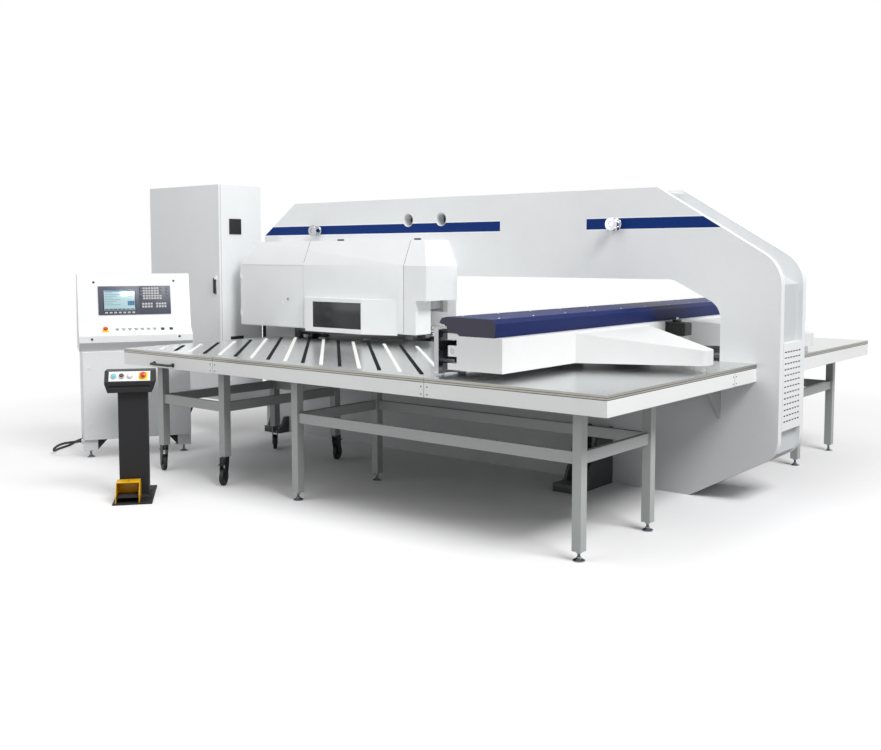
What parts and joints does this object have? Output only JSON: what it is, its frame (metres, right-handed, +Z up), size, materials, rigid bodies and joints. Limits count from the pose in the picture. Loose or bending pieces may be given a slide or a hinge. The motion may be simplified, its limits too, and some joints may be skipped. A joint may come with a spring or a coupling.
{
  "type": "cnc turret punch press",
  "caption": "Closed-loop press frame with a turret under folded covers, slatted sheet tables, a sliding cross beam with sheet clamps, and its cabinet, console and pedal stand.",
  "frame": {"origin": "middle of the press frame's base, on the floor, in the frame's mid-plane and at mid-length", "axes": "+X to the side with the console and the pedal stand, +Y from the turret end to the rear, +Z up"},
  "size_m": [5.1931, 6.114, 2.324],
  "materials": {
    "press_paint": "satin light grey enamel",
    "leg_paint": "satin grey enamel",
    "black_paint": "satin black enamel",
    "plate_paint": "satin grey-brown enamel",
    "navy_paint": "gloss navy enamel",
    "guard_paint": "satin yellow enamel",
    "chromed": "polished",
    "ground_steel": "ground",
    "dark_steel": "blackened",
    "casting": "painted grey",
    "belt_rubber": "matte",
    "wheel_tread": "matte",
    "dark_glass": "tinted",
    "strip_black": "matte",
    "strip_white": "matte",
    "grip_black": "satin",
    "unit_plastic": "satin",
    "screen_face": "gloss",
    "stop_red": "gloss",
    "button_body": "gloss",
    "cable_sheath": "matte"
  },
  "bodies": {
    "press": {"main_frame": "press_paint", "levelling_feet": "black_paint", "lifting_lugs": "chromed", "rear_vent_panel": "press_paint", "ram_cylinder": "casting", "turret_bearings": "casting", "index_belts": "belt_rubber", "index_motor": "black_paint", "turret_covers": "press_paint", "window_glass": "dark_glass", "y_rails": "ground_steel", "cabinet_body": "press_paint", "cabinet_fittings": "grip_black", "right_table_frame": "leg_paint", "left_table_frame": "leg_paint", "front_table_frame": "leg_paint", "table_plates": "plate_paint", "black_strips": "strip_black", "white_strips": "strip_white", "table_handle": "grip_black", "console_body": "press_paint", "control_unit": "unit_plastic", "control_screen": "screen_face", "console_controls": "button_body", "console_cable": "cable_sheath", "pedestal_stand": "black_paint", "pedal_guard": "guard_paint"},
    "ram": {"ram": "chromed"},
    "upper_turret": {"upper_turret": "ground_steel", "punch_holders": "dark_steel"},
    "lower_turret": {"lower_turret": "ground_steel", "die_holders": "dark_steel"},
    "index_shaft": {"index_shaft": "ground_steel"},
    "tool_door": {"tool_door": "press_paint"},
    "beam": {"cross_beam": "press_paint", "beam_cover": "navy_paint", "x_rails": "ground_steel", "axis_motors": "black_paint"},
    "carriage": {"x_carriage": "dark_steel"},
    "x_screw": {"x_screw": "ground_steel"},
    "clamp_jaw_1": {"clamp_jaw_1": "ground_steel"},
    "clamp_jaw_2": {"clamp_jaw_2": "ground_steel"},
    "clamp_jaw_3": {"clamp_jaw_3": "ground_steel"},
    "cabinet_door": {"cabinet_door": "press_paint"},
    "cabinet_handle": {"cabinet_handle": "grip_black"},
    "console_door": {"console_door": "press_paint"},
    "console_estop": {"console_estop": "stop_red"},
    "pedestal_estop": {"pedestal_estop": "stop_red"},
    "pedestal_button_1": {"pedestal_button_1": "button_body"},
    "pedestal_button_2": {"pedestal_button_2": "button_body"},
    "pedestal_button_3": {"pedestal_button_3": "button_body"},
    "foot_pedal": {"foot_pedal": "grip_black"},
    "caster_fork_1": {"caster_fork_1": "ground_steel"},
    "caster_wheel_1": {"caster_wheel_1": "wheel_tread"},
    "caster_fork_2": {"caster_fork_2": "ground_steel"},
    "caster_wheel_2": {"caster_wheel_2": "wheel_tread"},
    "caster_fork_3": {"caster_fork_3": "ground_steel"},
    "caster_wheel_3": {"caster_wheel_3": "wheel_tread"},
    "caster_fork_4": {"caster_fork_4": "ground_steel"},
    "caster_wheel_4": {"caster_wheel_4": "wheel_tread"}
  },
  "joints": [
    {"name": "ram_slide", "type": "slide", "parent": "press", "child": "ram", "axis": [0, 0, -1], "range_m": [0, 0.03]},
    {"name": "upper_turret_spin", "type": "hinge", "parent": "press", "child": "upper_turret", "pos_m": [0, -1.424, 1.03], "axis": [0, 0, 1], "continuous": true},
    {"name": "lower_turret_spin", "type": "hinge", "parent": "press", "child": "lower_turret", "pos_m": [0, -1.424, 0.9], "axis": [0, 0, 1], "continuous": true},
    {"name": "index_shaft_spin", "type": "hinge", "parent": "press", "child": "index_shaft", "pos_m": [0, -2.31, 0.9], "axis": [0, 0, 1], "continuous": true},
    {"name": "tool_door_hinge", "type": "hinge", "parent": "press", "child": "tool_door", "pos_m": [0.628, -2.399, 1.31], "axis": [0, 0, -1], "range_deg": [0, 60]},
    {"name": "y_slide", "type": "slide", "parent": "press", "child": "beam", "axis": [0, -1, 0], "range_m": [0, 1.25]},
    {"name": "x_slide", "type": "slide", "parent": "beam", "child": "carriage", "axis": [-1, 0, 0], "range_m": [0, 2.5]},
    {"name": "x_screw_spin", "type": "hinge", "parent": "beam", "child": "x_screw", "pos_m": [0, 1.242, 1.107], "axis": [1, 0, 0], "continuous": true},
    {"name": "clamp_jaw_1_hinge", "type": "hinge", "parent": "carriage", "child": "clamp_jaw_1", "pos_m": [0.69, 1.024, 0.995], "axis": [-1, 0, 0], "range_deg": [0, 12]},
    {"name": "clamp_jaw_2_hinge", "type": "hinge", "parent": "carriage", "child": "clamp_jaw_2", "pos_m": [1.25, 1.024, 0.995], "axis": [-1, 0, 0], "range_deg": [0, 12]},
    {"name": "clamp_jaw_3_hinge", "type": "hinge", "parent": "carriage", "child": "clamp_jaw_3", "pos_m": [1.81, 1.024, 0.995], "axis": [-1, 0, 0], "range_deg": [0, 12]},
    {"name": "cabinet_door_hinge", "type": "hinge", "parent": "press", "child": "cabinet_door", "pos_m": [0.747, -3.602, 1.362], "axis": [0, 0, -1], "range_deg": [0, 110]},
    {"name": "cabinet_handle_hinge", "type": "hinge", "parent": "cabinet_door", "child": "cabinet_handle", "pos_m": [0.7655, -2.61, 1.462], "axis": [0, -1, 0], "range_deg": [0, 90]},
    {"name": "caster_swivel_1", "type": "hinge", "parent": "press", "child": "caster_fork_1", "pos_m": [2.05, -1.63, 0.215], "axis": [0, 0, 1], "continuous": true},
    {"name": "caster_wheel_1_spin", "type": "hinge", "parent": "caster_fork_1", "child": "caster_wheel_1", "pos_m": [2.03577, -1.66523, 0.0625], "axis": [0.9272, -0.3746, 0], "continuous": true},
    {"name": "caster_swivel_2", "type": "hinge", "parent": "press", "child": "caster_fork_2", "pos_m": [2.05, -0.9, 0.215], "axis": [0, 0, 1], "continuous": true},
    {"name": "caster_wheel_2_spin", "type": "hinge", "parent": "caster_fork_2", "child": "caster_wheel_2", "pos_m": [2.08291, -0.881, 0.0625], "axis": [-0.5, 0.866, 0], "continuous": true},
    {"name": "caster_swivel_3", "type": "hinge", "parent": "press", "child": "caster_fork_3", "pos_m": [0.915, -1.63, 0.215], "axis": [0, 0, 1], "continuous": true},
    {"name": "caster_wheel_3_spin", "type": "hinge", "parent": "caster_fork_3", "child": "caster_wheel_3", "pos_m": [0.8916, -1.65994, 0.0625], "axis": [0.788, -0.6157, 0], "continuous": true},
    {"name": "caster_swivel_4", "type": "hinge", "parent": "press", "child": "caster_fork_4", "pos_m": [0.915, -0.9, 0.215], "axis": [0, 0, 1], "continuous": true},
    {"name": "caster_wheel_4_spin", "type": "hinge", "parent": "caster_fork_4", "child": "caster_wheel_4", "pos_m": [0.87929, -0.913, 0.0625], "axis": [0.342, -0.9397, 0], "continuous": true},
    {"name": "console_door_hinge", "type": "hinge", "parent": "press", "child": "console_door", "pos_m": [1.43321, -2.11323, 0.52], "axis": [0, 0, 1], "range_deg": [0, 40]},
    {"name": "console_estop_press", "type": "slide", "parent": "press", "child": "console_estop", "axis": [-0.2333, -0.414, -0.8799], "range_m": [0, 0.006]},
    {"name": "pedestal_estop_press", "type": "slide", "parent": "press", "child": "pedestal_estop", "axis": [-0.5233, -0.6469, -0.5547], "range_m": [0, 0.006]},
    {"name": "pedestal_button_1_press", "type": "slide", "parent": "press", "child": "pedestal_button_1", "axis": [-0.5233, -0.6469, -0.5547], "range_m": [0, 0.004], "stiffness_N_per_m": 400, "springref_m": -0.002},
    {"name": "pedestal_button_2_press", "type": "slide", "parent": "press", "child": "pedestal_button_2", "axis": [-0.5233, -0.6469, -0.5547], "range_m": [0, 0.004], "stiffness_N_per_m": 400, "springref_m": -0.002},
    {"name": "pedestal_button_3_press", "type": "slide", "parent": "press", "child": "pedestal_button_3", "axis": [-0.5233, -0.6469, -0.5547], "range_m": [0, 0.004], "stiffness_N_per_m": 400, "springref_m": -0.002},
    {"name": "foot_pedal_hinge", "type": "hinge", "parent": "press", "child": "foot_pedal", "pos_m": [2.77548, -1.03389, 0.042], "axis": [-0.7775, 0.6289, 0], "range_deg": [0, 8], "stiffness_Nm_per_rad": 20, "springref_deg": -17.19}
  ],
  "couplings": [
    {"joint": "lower_turret_spin", "follows": "upper_turret_spin", "ratio": 1},
    {"joint": "index_shaft_spin", "follows": "upper_turret_spin", "ratio": 2},
    {"joint": "x_screw_spin", "follows": "x_slide", "rad_per_m": 157.08}
  ]
}
